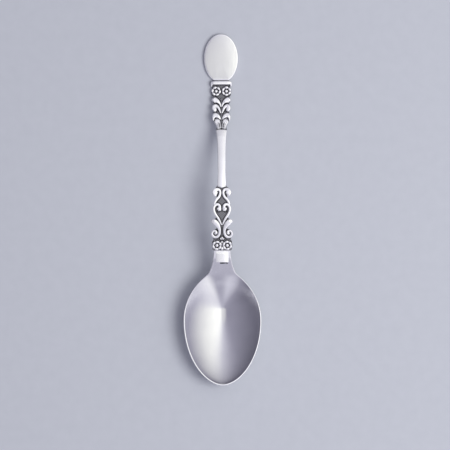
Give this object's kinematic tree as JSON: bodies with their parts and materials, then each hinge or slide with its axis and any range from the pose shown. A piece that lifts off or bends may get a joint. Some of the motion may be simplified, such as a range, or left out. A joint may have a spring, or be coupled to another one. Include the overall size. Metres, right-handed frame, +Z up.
{
  "type": "teaspoon",
  "caption": "Polished silver teaspoon with an egg-shaped bowl, an arched stem carrying applied scrolls, rosettes and leaves, a plain shank and an oval end plaque, for stirring and serving.",
  "frame": {"origin": "on the table under the middle of the spoon's length", "axes": "+Y from the bowl to the plaque, +X to the right seen from above with the plaque up, +Z up out of the bowl"},
  "size_m": [0.0332, 0.15, 0.0164],
  "materials": {
    "polished_silver": "mirror-polished silver with fine wiping scratches",
    "stem_silver": "polished silver strip, hatched and darkened under the ornament",
    "relief_silver": "polished silver relief with darkened recesses"
  },
  "bodies": {
    "root": {"bowl": "polished_silver", "stem": "stem_silver", "s_scroll_left": "relief_silver", "s_scroll_right": "relief_silver", "heart_scroll_left": "relief_silver", "heart_scroll_right": "relief_silver", "leaf_scroll_left": "relief_silver", "leaf_scroll_right": "relief_silver", "bud": "relief_silver", "eyelet": "relief_silver", "sprig": "relief_silver", "lower_rosette_left": "relief_silver", "lower_rosette_right": "relief_silver", "lower_beads": "relief_silver", "cup_leaf_left": "relief_silver", "cup_leaf_right": "relief_silver", "third_leaf_left": "relief_silver", "third_leaf_right": "relief_silver", "second_leaf_left": "relief_silver", "second_leaf_right": "relief_silver", "first_leaf_left": "relief_silver", "first_leaf_right": "relief_silver", "upper_rosette_left": "relief_silver", "upper_rosette_right": "relief_silver", "upper_beads": "relief_silver", "collar": "relief_silver", "plaque": "polished_silver"}
  },
  "joints": []
}
